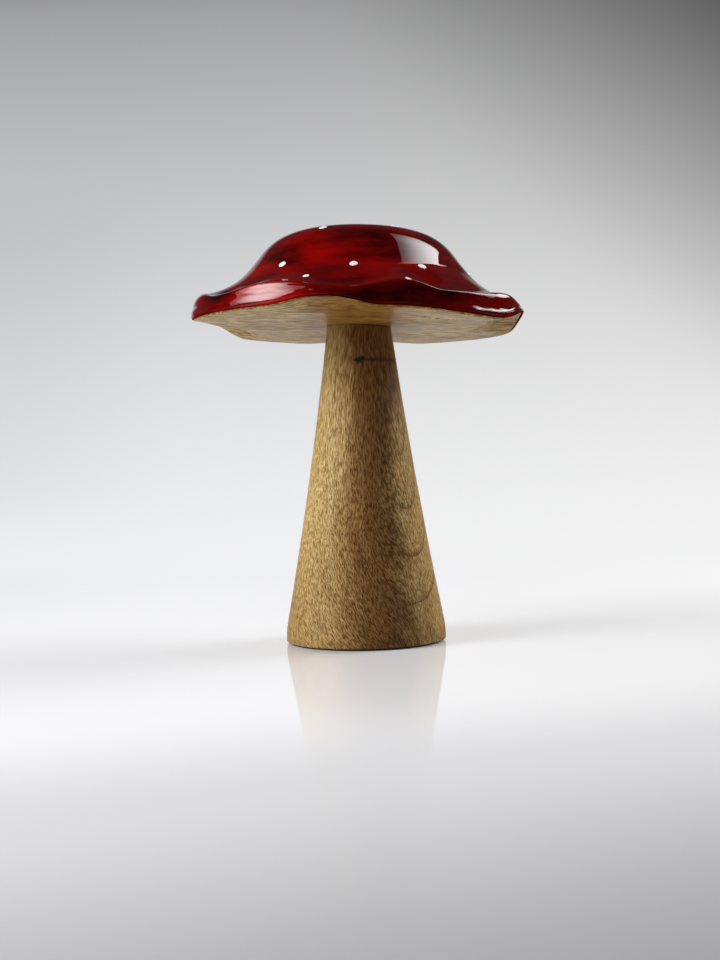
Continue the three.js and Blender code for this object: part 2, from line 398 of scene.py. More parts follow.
class Effects:
    """Effects that several finishes share, each built once as a node group; grain runs along Z."""

    def __init__(self) -> None:
        """Builds the groups."""
        place = {"Place": (0.0, 0.0, 0.0)}
        pith = {"Pith X": 0.0, "Pith Y": 0.0, "Lean X": 0.0, "Lean Y": 0.0}
        self.rings = make_group(
            "growth_rings", place | pith | {"Spacing": 4.0, "Waver": 3.0}, {"Line": 0.0, "Tone": 0.0},
            self.growth_rings)
        self.pores = make_group(
            "pore_streaks", place | {"Width": 0.35, "Length": 2.0, "Amount": 0.4}, {"Pores": 0.0},
            self.pore_streaks)
        self.fibres = make_group(
            "fibre_haze",
            place | {"Fine": 3.0, "Broad": 0.16, "Stretch": 0.03, "Soft": 0.1, "Dark": WHITE, "Light": WHITE},
            {"Fibre": 0.0, "Band": 0.0, "Tint": WHITE}, self.fibre_haze)
        self.rub = make_group(
            "hand_rub", place | {"Cloud": 0.05, "Speck": 1.2, "Smooth": 0.3, "Dull": 0.4},
            {"Cloud": 0.0, "Specks": 0.0, "Roughness": 0.0}, self.hand_rub)

    @staticmethod
    def growth_rings(bench: NodeBench, take: Values) -> Values:
        """Lays out rings of late wood round a leaning pith.

        Args:
            bench: Bench on the group's tree.
            take: The group's inputs.

        Returns:
            The dark line of each ring and the ring's own tone.
        """
        x, y, z = bench.split(take["Place"])
        slow = bench.stretch(take["Place"], (0.05, 0.05, 0.018))
        sway_x = bench.noise(slow, 1.0) - 0.5
        sway_y = bench.noise(bench.join(y, z, x), 0.04, 1.0) - 0.5
        far_x = x - (z * take["Lean X"] + take["Pith X"]) + sway_x * take["Waver"]
        far_y = y - (z * take["Lean Y"] + take["Pith Y"]) + sway_y * take["Waver"]
        count = bench.far(far_x, far_y) / take["Spacing"]
        part = bench.maths("FRACT", count)
        line = part**13.0 * part.ease(0.965, 1.0, 1.0, 0.0)
        feeds = {"W": count, "Scale": 0.9, "Detail": 1.0}
        return {"Line": line, "Tone": bench.value("ShaderNodeTexNoise", feeds, noise_dimensions="1D")}

    @staticmethod
    def pore_streaks(bench: NodeBench, take: Values) -> Values:
        """Lays out short open pores, crowded in some places.

        Args:
            bench: Bench on the group's tree.
            take: The group's inputs.

        Returns:
            A mask of the pores.
        """
        x, y, z = bench.split(take["Place"])
        drawn = bench.join(x / take["Width"], y / take["Width"], z / take["Length"])
        crowd = bench.noise(bench.stretch(take["Place"], (0.12, 0.12, 0.03)), 1.0) - 0.5
        level = bench.noise(drawn, 1.0, 1.0, 0.4) + crowd * 0.12
        edge = 0.86 - take["Amount"] * 0.5
        return {"Pores": level.ease(edge, edge + 0.12)}

    @staticmethod
    def fibre_haze(bench: NodeBench, take: Values) -> Values:
        """Lays out fine long fibres and broad bands.

        Args:
            bench: Bench on the group's tree.
            take: The group's inputs.

        Returns:
            The fibres, the bands, and a tint from dark fibres to light ones.
        """
        x, y, z = bench.split(take["Place"])
        place = bench.join(x, y, z * take["Stretch"])
        fibre = bench.noise(place, take["Fine"], 3.0, 0.6)
        fleck = fibre.ease(0.5 - take["Soft"], 0.5 + take["Soft"])
        return {
            "Fibre": fibre,
            "Band": bench.noise(place, take["Broad"], 3.0, 0.55),
            "Tint": bench.blend(fleck, take["Dark"], take["Light"]),
        }

    @staticmethod
    def hand_rub(bench: NodeBench, take: Values) -> Values:
        """Lays out cloudy wear from handling, with fine specks.

        Args:
            bench: Bench on the group's tree.
            take: The group's inputs.

        Returns:
            The clouds, the specks, and a roughness from smooth to dull.
        """
        cloud = bench.noise(take["Place"], take["Cloud"], 3.0, 0.55)
        return {
            "Cloud": cloud,
            "Specks": bench.noise(take["Place"], take["Speck"], 1.0).ease(0.68, 0.78),
            "Roughness": cloud.ease(0.3, 0.7, take["Smooth"], take["Dull"]),
        }


# Finishes


@dataclass(frozen=True)
class Finish:
    """A finish with one Principled shader; each kind lays out its own nodes."""

    effects: Effects
    name: ClassVar[str]

    def lay(self, bench: NodeBench, shader: bpy.types.Node) -> Value | None:
        """Feeds the shader, and returns a surface of its own if the shader alone isn't the surface."""
        raise NotImplementedError

    def material(self) -> bpy.types.Material:
        """Builds the material.

        Returns:
            The material with its nodes.
        """
        material = bpy.data.materials.new(self.name)
        material.use_nodes = True
        material.node_tree.nodes.clear()
        bench = NodeBench(material.node_tree)
        shader = bench.add("ShaderNodeBsdfPrincipled")
        surface = self.lay(bench, shader) or Value(bench, shader.outputs[0])
        bench.add("ShaderNodeOutputMaterial", {"Surface": surface})
        return material


@dataclass(frozen=True)
class StemWood(Finish):
    """Oiled open-pored hardwood: pale sapwood with a brown heart strip, a small knot and a check."""

    name: ClassVar[str] = "stem_wood"
    sap: Colour = (0.62, 0.42, 0.15, 1.0)
    middle: Colour = (0.43, 0.255, 0.078, 1.0)
    heart: Colour = (0.24, 0.11, 0.03, 1.0)
    right_sap: Colour = (0.62, 0.385, 0.12, 1.0)
    late: Colour = (0.2, 0.093, 0.025, 1.0)
    pore: Colour = (0.34, 0.255, 0.12, 1.0)
    dark_fibre: Colour = (0.4, 0.33, 0.16, 1.0)
    light_fibre: Colour = (1.46, 1.57, 1.98, 1.0)
    knot: Colour = (0.014, 0.012, 0.01, 1.0)
    foot: float = 34.6
    taper: float = 0.15
    heart_at: float = 0.12
    knot_at: Pair = (0.2, 121.2)
    relief: float = 0.18 * MM

    def lay(self, bench: NodeBench, shader: bpy.types.Node) -> None:
        """Lays out the sapwood, the heart, growth lines, fibres, pores and the knot.

        Args:
            bench: Bench on the stem's tree.
            shader: The stem's shader.
        """
        place = bench.place()
        x, y, z = bench.split(place)
        half = self.foot - z * self.taper
        across = x / half
        grain = self.grain(bench, (x, y, z), half)
        rings = bench.group(self.effects.rings, {
            "Place": place, "Pith X": 5.6, "Pith Y": -7.2, "Lean X": 0.079, "Lean Y": -0.045,
            "Spacing": 5.6, "Waver": 3.0,
        })
        pores = bench.group(self.effects.pores, {
            "Place": grain, "Width": 0.25, "Length": 1.8, "Amount": 0.56,
        })["Pores"]
        fibres = bench.group(self.effects.fibres, {
            "Place": grain, "Fine": 3.0, "Broad": 0.16, "Stretch": 0.15, "Soft": 0.11,
            "Dark": self.dark_fibre, "Light": self.light_fibre,
        })
        rub = bench.group(self.effects.rub, {"Place": place, "Cloud": 0.05})
        mark = self.knot_mark(bench, place)
        colour = self.ground(bench, across, z, fibres["Band"])
        colour = bench.blend(rings["Tone"].ease(0.3, 0.7, 0.0, 0.15), colour, self.late)
        colour = bench.blend(rings["Line"] * x.ease(9.0, 18.0, 0.15, 1.4), colour, self.late)
        flecked = abs(across - self.heart_at).ease(0.2, 0.55, 1.0, 0.8)
        colour = bench.blend(flecked, colour, fibres["Tint"], Mix.MULTIPLY)
        colour = bench.blend(pores * 0.75, colour, self.pore, Mix.MULTIPLY)
        height = fibres["Fibre"] * 0.3 - pores - mark * 0.8
        bench.feed(shader, {
            "Base Color": bench.blend(mark, colour, self.knot),
            "Roughness": pores * 0.18 + rub["Cloud"] * 0.1 + 0.45,
            "Specular IOR Level": 0.14,
            "Normal": bench.bump(height, self.relief, 0.8),
        })

    @staticmethod
    def grain(bench: NodeBench, place: tuple[Value, Value, Value], half: Value) -> Value:
        """Lets the grain follow the taper, turn round the lower stem and run longer near the top.

        Args:
            bench: Bench on the stem's tree.
            place: Place across, from front to back and up the stem.
            half: Half width of the stem.

        Returns:
            A place whose Z runs along the grain.
        """
        x, y, z = place
        low = z.at_most(75.0)
        lean = low * (0.018 - low * 0.00012) * x.ease(4.0, 24.0, 1.0, 0.35)
        follow = (25.0 / half) ** 0.6
        upper = bench.maths("SMOOTH_MAX", z - 85.0, 0.0, 40.0)
        run = bench.join(x * follow, y * follow, z - upper * 0.75)
        return bench.value("ShaderNodeVectorRotate", {"Vector": run, "Angle": lean}, rotation_type="Z_AXIS")

    def ground(self, bench: NodeBench, across: Value, z: Value, band: Value) -> Value:
        """Colour of the wood across the stem: pale left side, brown heart, paler right side.

        Args:
            bench: Bench on the stem's tree.
            across: Place across as a share of the stem's half width.
            z: Place up the stem.
            band: Broad bands along the grain.

        Returns:
            The colour before pores and fibres.
        """
        across = across + (band - 0.5) * 1.1
        left = across + z.ease(100.0, 125.0, 0.0, 0.066)
        waist = abs(z - 57.0).ease(26.0, 10.0, 0.0, 0.13)
        right = across + waist - z.ease(72.0, 112.0, 0.0, 0.38) - z.ease(40.0, 14.0, 0.0, 0.16)
        sap = bench.blend(z.ease(60.0, 10.0, 0.0, 0.7), self.sap, self.middle)
        colour = bench.blend(left.ease(-0.66, -0.3), sap, self.middle)
        colour = bench.blend(left.ease(-0.4, 0.04), colour, self.heart)
        return bench.blend(right.ease(0.34, 0.72), colour, self.right_sap)

    def knot_mark(self, bench: NodeBench, place: Value) -> Value:
        """Marks the small ragged knot and the drying check that runs from it.

        Args:
            bench: Bench on the stem's tree.
            place: Place on the stem.

        Returns:
            A mask, on the front of the stem only.
        """
        across, up = self.knot_at
        x, y, z = bench.split(place)
        rag = bench.noise(place, 0.55, 2.0, 0.6) - 0.5
        far_x = x - across + rag * 7.0
        far_z = z - up + rag * 2.6
        core = bench.far(far_x * math.sqrt(0.3), far_z).ease(2.2, 0.4)
        check = abs(far_z).ease(1.3, 0.1) * x.ease(across, across + 3.0) * x.ease(4.0, 13.0, 0.8, 0.4)
        return core.at_least(check) * y.ease(-2.0, -4.0)


@dataclass(frozen=True)
class CapWood(Finish):
    """Pale sanded wood of the cap, with painted shade and warm bounced light from the stem in a strip from
    front to back along the middle; its grain runs across.
    """

    name: ClassVar[str] = "cap_wood"
    pale: Colour = (0.74, 0.5, 0.165, 1.0)
    late: Colour = (0.44, 0.28, 0.085, 1.0)
    # Colour of the painted shade along the middle, warm like the stem's bounced light
    middle: Colour = (0.7, 0.51, 0.32, 1.0)
    smudge: Colour = (0.15, 0.07, 0.02, 1.0)
    pore: Colour = (0.2, 0.105, 0.03, 1.0)
    dark_fibre: Colour = (0.41, 0.305, 0.12, 1.0)
    light_fibre: Colour = (1.48, 1.6, 2.04, 1.0)
    relief: float = 0.25 * MM

    def lay(self, bench: NodeBench, shader: bpy.types.Node) -> None:
        """Lays out the growth lines, the painted shade along the middle, fibres, stains and pores.

        Args:
            bench: Bench on the bare wood's tree.
            shader: The bare wood's shader.
        """
        x, y, z = bench.split(bench.place())
        grain = bench.join(y, z, x)
        rings = bench.group(self.effects.rings, {
            "Place": grain, "Pith X": 6.0, "Pith Y": 60.0, "Lean X": 0.05, "Lean Y": 0.03,
            "Spacing": 4.6, "Waver": 10.0,
        })
        pores = bench.group(self.effects.pores, {
            "Place": grain, "Width": 0.7, "Length": 4.0, "Amount": 0.54,
        })["Pores"]
        fibres = bench.group(self.effects.fibres, {
            "Place": grain, "Fine": 1.2, "Broad": 0.1, "Stretch": 0.12, "Soft": 0.14,
            "Dark": self.dark_fibre, "Light": self.light_fibre,
        })
        rub = bench.group(self.effects.rub, {"Place": grain, "Cloud": 0.06, "Smooth": 0.3, "Dull": 0.42})
        colour = bench.blend(rings["Tone"].ease(0.3, 0.7, 0.0, 0.5), self.pale, self.late)
        colour = bench.blend(rings["Line"] * 0.4, colour, self.late)
        colour = bench.blend(fibres["Fibre"].ease(0.35, 0.7, 0.3, 0.0), colour, self.late)
        # Painted shade and warm bounce from the stem: a strip in front of and behind the stem is browner,
        # with fainter flecks
        inner = abs(x).ease(28.0, 13.0)
        colour = bench.blend(inner, colour, self.middle, Mix.MULTIPLY)
        colour = bench.blend(inner.ease(0.0, 1.0, 1.0, 0.65), colour, fibres["Tint"], Mix.MULTIPLY)
        stain = fibres["Band"].ease(0.54, 0.7, 0.0, 0.5) + x.ease(44.0, 66.0, 0.0, 0.35)
        colour = bench.blend(stain, colour, self.smudge)
        bench.feed(shader, {
            "Base Color": bench.blend(pores * 0.5, colour, self.pore),
            "Roughness": rub["Roughness"],
            "Specular IOR Level": 0.07,
            "Normal": bench.bump(fibres["Fibre"] * 0.4 - pores, self.relief, 0.8),
        })


@dataclass(frozen=True)
class PegWood(Finish):
    """Plain pale beech of the hidden peg."""

    name: ClassVar[str] = "peg_wood"
    pale: Colour = (0.62, 0.44, 0.25, 1.0)
    late: Colour = (0.42, 0.26, 0.13, 1.0)
    relief: float = 0.1 * MM

    def lay(self, bench: NodeBench, shader: bpy.types.Node) -> None:
        """Lays out the bands, the pores and the fibres.

        Args:
            bench: Bench on the peg's tree.
            shader: The peg's shader.
        """
        place = bench.place()
        pores = bench.group(self.effects.pores, {
            "Place": place, "Width": 0.25, "Length": 1.2, "Amount": 0.55,
        })["Pores"]
        fibres = bench.group(self.effects.fibres, {"Place": place, "Fine": 3.0, "Broad": 0.4})
        colour = bench.blend(fibres["Band"].ease(0.3, 0.7), self.pale, self.late)
        bench.feed(shader, {
            "Base Color": bench.blend(pores * 0.6, colour, self.late),
            "Roughness": fibres["Fibre"].ease(0.3, 0.7, 0.6, 0.75),
            "Normal": bench.bump(fibres["Fibre"], self.relief, 0.6),
        })


class Cloud(NamedTuple):
    """Soft patch of painted light and shade on the coat's front: its middle, half width, half height, and how
    much darker it is; a patch below zero is painted lighter.
    """

    across: float
    up: float
    wide: float
    tall: float
    weight: float


@dataclass(frozen=True)
class RedEnamel(Finish):
    """Thick translucent red enamel: the wood's bands show through under a clear gloss, with patches of
    painted light and shade on its front.
    """

    name: ClassVar[str] = "red_enamel"
    bright: Colour = (0.46, 0.0016, 0.0012, 1.0)
    deep: Colour = (0.03, 0.0006, 0.0004, 1.0)
    # Patches of painted light and shade, on the front only; the strongest lightens the red under the left
    # lip's highlight
    clouds: tuple[Cloud, ...] = (
        Cloud(-13.0, 163.0, 9.0, 4.5, -0.25), Cloud(9.0, 165.0, 9.0, 5.5, 0.14),
        Cloud(10.0, 156.5, 36.0, 2.4, -0.16), Cloud(-28.0, 162.0, 9.0, 4.5, 0.26),
        Cloud(12.0, 141.0, 27.0, 5.0, 0.34), Cloud(-33.0, 143.5, 14.0, 5.0, -0.5),
        Cloud(-54.5, 145.5, 6.0, 3.5, 0.4), Cloud(-3.0, 149.0, 32.0, 2.5, 0.12),
        Cloud(36.0, 152.0, 18.0, 8.0, -0.08), Cloud(-42.0, 157.0, 6.0, 6.0, -0.16),
        Cloud(6.0, 172.0, 26.0, 6.0, 0.06),
    )

    def lay(self, bench: NodeBench, shader: bpy.types.Node) -> None:
        """Lays out the bands, the patches of painted light and shade on the front and the gloss, which ends
        under the lip.

        Args:
            bench: Bench on the coat's tree.
            shader: The coat's shader.
        """
        place = bench.place()
        x, y, z = bench.split(place)
        grain = bench.join(z * 1.7, y * 0.4, x)
        fibres = bench.group(self.effects.fibres, {
            "Place": grain, "Fine": 0.45, "Broad": 0.1, "Stretch": 0.45,
        })
        pores = bench.group(self.effects.pores, {
            "Place": grain, "Width": 0.5, "Length": 4.0, "Amount": 0.3,
        })["Pores"]
        rub = bench.group(self.effects.rub, {"Place": place, "Cloud": 0.05, "Smooth": 0.3, "Dull": 0.42})
        share = fibres["Band"].ease(0.32, 0.68, 0.52, 0.84)
        share = share + (fibres["Fibre"] - 0.5) * 0.25 + pores * 0.1
        front = y.ease(6.0, -6.0)
        # Painted light and shade: each patch lightens or darkens the red on the front
        for cloud in self.clouds:
            far = bench.far((x - cloud.across) / cloud.wide, (z - cloud.up) / cloud.tall)
            share = share + far.ease(1.5, 0.2) * front * cloud.weight
        facing_up = bench.split(bench.value("ShaderNodeNewGeometry", output="Normal"))[2]
        bench.feed(shader, {
            "Base Color": bench.blend(share, self.bright, self.deep),
            "Roughness": rub["Roughness"],
            "Specular IOR Level": 0.0,
            "Coat Weight": facing_up.ease(-0.4, -0.04),
            "Coat Roughness": 0.008,
            "Coat IOR": 1.52,
        })


@dataclass(frozen=True)
class WhiteEnamel(Finish):
    """Glossy white enamel of the drops, a little uneven from the brush, with a faint painted glow."""

    name: ClassVar[str] = "white_enamel"
    white: Colour = (0.95, 0.95, 0.95, 1.0)
    thin: Colour = (0.86, 0.84, 0.83, 1.0)
    relief: float = 0.08 * MM

    def lay(self, bench: NodeBench, shader: bpy.types.Node) -> None:
        """Lays out the thin places, the gloss and a faint painted glow that brightens the drops.

        Args:
            bench: Bench on the drops' tree.
            shader: The drops' shader.
        """
        rub = bench.group(self.effects.rub, {
            "Place": bench.place(), "Cloud": 0.45, "Smooth": 0.22, "Dull": 0.36,
        })
        colour = bench.blend(rub["Cloud"].ease(0.45, 0.75, 0.0, 0.6), self.white, self.thin)
        bench.feed(shader, {
            "Base Color": colour,
            "Roughness": rub["Roughness"],
            "Coat Weight": 0.6,
            "Coat Roughness": 0.08,
            "Normal": bench.bump(rub["Cloud"], self.relief, 0.5),
            # Painted glow: the drops emit a little of their own colour, though they are no lamp
            "Emission Color": colour,
            "Emission Strength": 0.3,
        })


@dataclass(frozen=True)
class PadFelt(Finish):
    """Dark pressed felt with crossing fibres."""

    name: ClassVar[str] = "pad_felt"
    dark: Colour = (0.03, 0.027, 0.025, 1.0)
    lint: Colour = (0.085, 0.078, 0.07, 1.0)
    relief: float = 0.3 * MM

    def lay(self, bench: NodeBench, shader: bpy.types.Node) -> None:
        """Lays out the crossing fibres and the lint.

        Args:
            bench: Bench on the pad's tree.
            shader: The pad's shader.
        """
        place = bench.place()
        x, y, z = bench.split(place)
        first, second = (
            bench.group(self.effects.fibres, {"Place": run, "Fine": 4.0, "Stretch": 0.2})["Fibre"]
            for run in (bench.join(x, z, y), bench.join(y, z, x))
        )
        rub = bench.group(self.effects.rub, {"Place": place, "Speck": 2.5})
        crossing = first.at_least(second)
        colour = bench.blend(crossing.ease(0.5, 0.8), self.dark, self.lint)
        bench.feed(shader, {
            "Base Color": bench.blend(rub["Specks"] * 0.5, colour, self.lint),
            "Roughness": crossing.ease(0.4, 0.8, 0.85, 1.0),
            "Sheen Weight": 0.4,
            "Sheen Roughness": 0.6,
            "Normal": bench.bump(crossing, self.relief, 0.9),
        })


@dataclass(frozen=True)
class PaleSweep(Finish):
    """Glossy pale table, painted darker towards its front and with a painted glow near the ornament, whose
    far side fades up into the lit wall; places in metres.
    """

    name: ClassVar[str] = "pale_sweep"
    table: Colour = (0.89, 0.89, 0.91, 1.0)
    speck: Colour = (0.6, 0.6, 0.6, 1.0)
    unseen: Colour = (0.5, 0.5, 0.5, 1.0)
    cool: Colour = (0.96, 0.965, 1.0, 1.0)
    wall_glow: float = 0.89
    least_glow: float = 0.034

    def lay(self, bench: NodeBench, shader: bpy.types.Node) -> Value:
        """Lays out the glossy table with its painted shade and painted glow, and the glow of the wall behind
        it.

        Args:
            bench: Bench on the backdrop's tree.
            shader: The table's own shader.

        Returns:
            The surface: table in front, lit wall behind.
        """
        x, y, z = bench.split(bench.place(1.0))
        rub = bench.group(self.effects.rub, {"Place": bench.place(), "Cloud": 0.004, "Speck": 0.3})
        path = bench.add("ShaderNodeLightPath").outputs
        rays = ("Is Camera Ray", "Is Glossy Ray", "Is Transmission Ray")
        camera, glossy, clear = (Value(bench, path[ray]) for ray in rays)
        seen = (camera + glossy + clear).at_most(1.0)
        # Painted shade: the table's colour darkens towards the front and the right
        aslant = y - x * 0.35
        front = aslant.ease(-0.42, -0.26, 0.485, 0.9) + aslant.ease(-0.245, -0.15, 0.0, 0.12)
        colour = bench.blend(rub["Specks"] * 0.03, self.table, self.speck)
        colour = bench.blend(1.0, colour, front, Mix.MULTIPLY)
        bench.feed(shader, {
            "Base Color": bench.blend(seen, self.unseen, colour),
            "Roughness": rub["Cloud"] * 0.1 + 0.6,
            "Specular IOR Level": 0.0,
            "Coat Weight": y.ease(-0.245, -0.13, 0.1, 1.0),
            "Coat Roughness": 0.06,
            "Coat IOR": 1.55,
        })
        pale = bench.blend(x.ease(-0.5, 0.4), self.cool, WHITE)
        # Painted glow on the table from just in front of the ornament backwards, brighter on the left
        near = y.ease(-0.3, -0.13, 0.0, 0.145) + y.ease(-0.15, -0.02, 0.0, -0.04)
        shine = near * x.ease(-0.2, 0.2, 1.2, 0.72) * seen
        lit = bench.value("ShaderNodeEmission", {"Color": pale, "Strength": shine})
        table = bench.value("ShaderNodeAddShader", {0: Value(bench, shader.outputs[0]), 1: lit})
        wall = bench.value("ShaderNodeEmission", {"Color": pale, "Strength": self.wall(bench, x, z)})
        return bench.value("ShaderNodeMixShader", {0: seen * y.ease(0.15, 0.65), 1: table, 2: wall})

    def wall(self, bench: NodeBench, x: Value, z: Value) -> Value:
        """Glow of the wall: falls off upwards, to the upper right and at the sides, with a painted shade low
        on the left.

        Args:
            bench: Bench on the backdrop's tree.
            x: Place across.
            z: Place up the wall.

        Returns:
            The strength of the glow.
        """
        level = self.wall_glow - z * (z * 0.13 + 0.55)
        corner = bench.maths("SMOOTH_MAX", x + z - 0.73, 0.0, 0.15)
        level = level * (1.0 - corner * 1.08).at_least(0.0)
        # Painted shade low on the left of the wall
        left = x.ease(-0.2, -0.55, 0.0, 0.085) * z.ease(0.6, 0.42) * z.ease(-0.02, 0.08)
        level = level * (1.0 - left)
        level = level * z.ease(0.79, 0.95, 1.0, 0.1) * abs(x).ease(0.56, 0.8, 1.0, 0.1)
        return level.at_least(self.least_glow)


# Sub-assemblies


def settle(piece: bpy.types.Object, material: bpy.types.Material, node: str) -> None:
    """Gives a piece its finish, lets it ride, and puts it in its node's place.

    Args:
        piece: The finished piece.
        material: Its material.
        node: Name of the CAD node that it stands for.
    """
    piece.data.materials.append(material)
    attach(piece, BODY)
    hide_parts(node)
    LOG.info("%s: %d faces", piece.name, len(piece.data.polygons))


@dataclass(frozen=True)
class CapFrame:
    """Where the cap sits: on the stem's trimmed top, leaning a little to the right."""

    shift: float = -0.7
    joint: float = 136.5
    lean: float = math.radians(1.38)

    def matrix(self) -> Matrix:
        """Returns the frame in metres."""
        seat = Matrix.Translation((self.shift * MM, 0.0, self.joint * MM))
        return seat @ Matrix.Rotation(self.lean, 4, "Y")

    def trim(self, points: np.ndarray, gap: float) -> np.ndarray:
        """Returns the height, at each millimetre point, of the plane that lies a gap under the joint."""
        across = (points[..., 0] - self.shift) * math.sin(self.lean)
        return self.joint - (gap + across) / math.cos(self.lean)


@dataclass(frozen=True)
class BasePad:
    """Thin felt disc under the foot."""

    radius: float = 33.1
    thickness: float = 0.78
    edge: float = 0.3
    fuzz: float = 0.07
    seed: int = 11
    columns: int = 360
    flat_rows: int = 12
    edge_rows: int = 5

    def build(self) -> bpy.types.Object:
        """Cuts the disc with a soft, slightly ragged edge.

        Returns:
            The pad.
        """
        low = rounded_edge(self.radius, self.edge, self.edge_rows)
        high = low[::-1] * (1.0, -1.0) + (0.0, self.thickness)
        radii = np.linspace(0.0, self.radius - self.edge, self.flat_rows)[:-1]
        inner = np.stack([radii, np.zeros_like(radii)], axis=1)
        outer = inner[::-1] + (0.0, self.thickness)
        rings = turned(np.vstack([inner, low, high, outer]), self.columns)
        rng = np.random.default_rng(self.seed)
        rag = 1.0 + (self.fuzz / self.radius) * rng.normal(0.0, 1.0, rings.shape[:2])
        edge = slice(len(inner), -len(outer))
        rings[edge, :, :2] *= rag[edge, :, None]
        return skin("felt_pad", rings)

    def dress(self, felt: bpy.types.Material) -> None:
        """Builds the pad and gives it its felt.

        Args:
            felt: The felt material.
        """
        pad = self.build()
        settle(pad, felt, "base_pad")


@dataclass(frozen=True)
class Stem:
    """Turned stem: upright foot, slightly hollow taper, top trimmed to the cap and drilled for the peg."""

    seat: CapFrame = field(default_factory=CapFrame)
    foot_z: float = 0.8
    height: float = 135.7
    top_radius: float = 13.9
    foot_radius: float = 34.6
    foot_height: float = 5.0
    foot_edge: float = 0.5
    hollow: float = 1.0
    top_ease: float = 0.3
    top_drop: float = 0.24
    top_ring: float = 0.75
    gap: float = 0.04
    hole_radius: float = 5.3
    hole_depth: float = 22.0
    hole_chamfer: float = 0.2
    hole_corner: float = 0.1
    unevenness: Ripple = Ripple(0.06, 46.0, 0.7)
    swell_fade: Pair = (2.0, 12.0)
    columns: int = 320
    under_rows: int = 10
    edge_rows: int = 7
    foot_rows: int = 13
    taper_rows: int = 200

    def outline(self) -> np.ndarray:
        """Outer profile from the foot's edge to the top.

        Returns:
            Radius and height above the foot of each ring.
        """
        corner = np.array((self.foot_radius, self.foot_height))
        top = np.array((self.top_radius, self.height))
        bend = (corner + top) / 2 - np.array((2 * self.hollow, 0.0))
        lower = corner + (bend - corner) * self.foot_height / (self.height - self.foot_height)
        start = np.array((self.foot_radius, self.foot_height / 2))
        t = np.linspace(0.0, 1.0, self.foot_rows)[:, None]
        foot = start * (1 - t) ** 2 + 2 * corner * t * (1 - t) + lower * t**2
        t = np.linspace(0.0, 1.0, self.taper_rows)[1:, None]
        taper = lower * (1 - t) ** 2 + 2 * bend * t * (1 - t) + top * t**2
        return np.vstack([rounded_edge(self.foot_radius, self.foot_edge, self.edge_rows), foot, taper])

    def bore(self) -> np.ndarray:
        """Trimmed top and the hole for the peg, square to the cap.

        Returns:
            Rings of millimetre points.
        """
        top, wall, floor = self.top_radius - self.top_ease, self.hole_radius, -self.hole_depth
        profile = np.array([
            (top, -self.gap), (self.top_ring * top, -self.gap), (wall + self.hole_chamfer, -self.gap),
            (wall, -self.gap - self.hole_chamfer), (wall, floor + self.hole_corner),
            (wall - self.hole_corner, floor), (0.0, floor),
        ])
        lean = np.array(self.seat.matrix().to_3x3())
        return turned(profile, self.columns) @ lean.T + (self.seat.shift, 0.0, self.seat.joint)

    def build(self) -> bpy.types.Object:
        """Turns, trims and drills the stem.

        Returns:
            The stem.
        """
        side = turned(self.outline(), self.columns)
        swell = self.unevenness.at(side)
        radius = np.linalg.norm(side[..., :2], axis=2)
        fade = smoother(side[..., 2], *self.swell_fade)
        side[..., :2] *= (1.0 + swell * fade / radius)[..., None]
        limit = self.seat.trim(side[-1], self.gap) - self.foot_z
        side[..., 2] *= limit / self.height
        side[..., 2] += self.foot_z
        side[-1, :, 2] -= self.top_drop
        radii = np.linspace(0.0, self.foot_radius - self.foot_edge, self.under_rows)[:-1]
        under = turned(np.stack([radii, np.full_like(radii, self.foot_z)], axis=1), self.columns)
        return skin("turned_stem", np.concatenate([under, side, self.bore()]))

    def dress(self, wood: bpy.types.Material) -> None:
        """Builds the stem and gives it its wood."""
        settle(self.build(), wood, "stem")


@dataclass(frozen=True)
class Peg:
    """Fluted peg between the stem and the cap: the CAD solid, finished in place."""

    node: str = "peg"

    def dress(self, wood: bpy.types.Material) -> None:
        """Gives the peg its wood.

        Args:
            wood: The peg's material.
        """
        peg = bpy.data.objects[self.node]
        peg.data.materials.clear()
        peg.data.materials.append(wood)
        LOG.info("%s: finished in place", self.node)


@dataclass(frozen=True)
class Wave:
    """Carved rise and fall round the brim: angle in degrees, then height."""

    knots: tuple[Pair, ...]

    def rise(self, angles: np.ndarray) -> np.ndarray:
        """Height of the wave.

        Args:
            angles: Angles round the cap, in degrees.

        Returns:
            The height at each angle.
        """
        starts, rises = np.array(self.knots).T
        turn = (angles - starts[0]) % 360.0 + starts[0]
        index = np.searchsorted(starts, turn, side="right") - 1
        ends = np.append(starts[1:], starts[0] + 360.0)
        later = np.append(rises[1:], rises[0])
        share = smoother(turn, starts[index], ends[index])
        return rises[index] + (later[index] - rises[index]) * share


